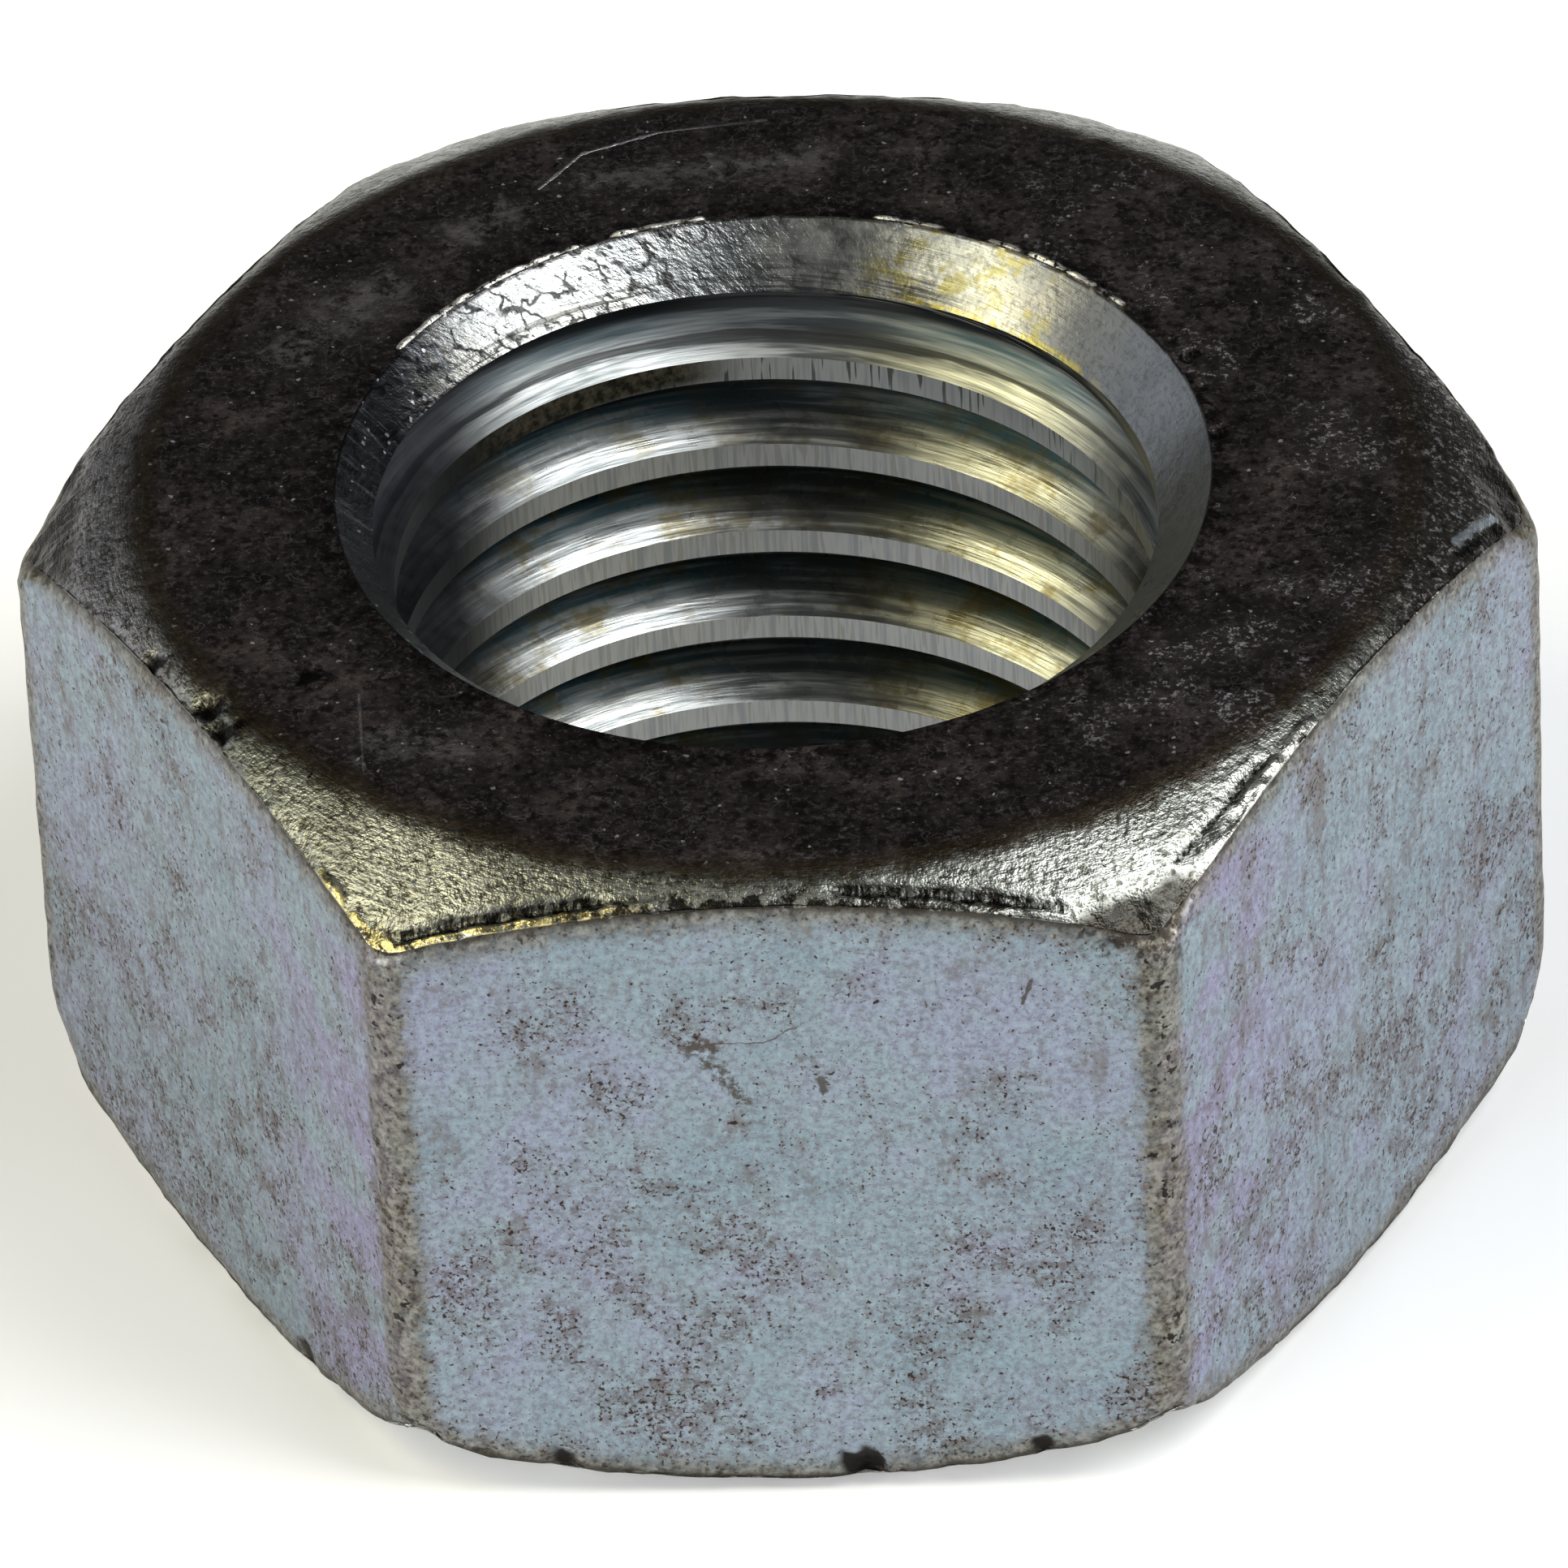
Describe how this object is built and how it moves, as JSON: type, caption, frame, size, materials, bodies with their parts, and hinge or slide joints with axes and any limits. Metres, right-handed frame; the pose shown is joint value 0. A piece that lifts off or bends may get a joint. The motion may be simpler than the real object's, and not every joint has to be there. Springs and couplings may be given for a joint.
{
  "type": "hex nut",
  "caption": "Plain hexagon nut with a right-hand coarse thread, countersunk mouths and a chamfer on both bearing faces.",
  "frame": {"origin": "centre of the bore on the lower bearing face", "axes": "+Z along the bore axis towards the upper bearing face, +X towards a corner, +Y square to a flat"},
  "size_m": [0.0344, 0.03, 0.0172],
  "materials": {
    "zinc_plate": "blue-white zinc plate over steel, worn and slightly stained, satin"
  },
  "bodies": {
    "root": {"hex_nut": "zinc_plate"}
  },
  "joints": []
}
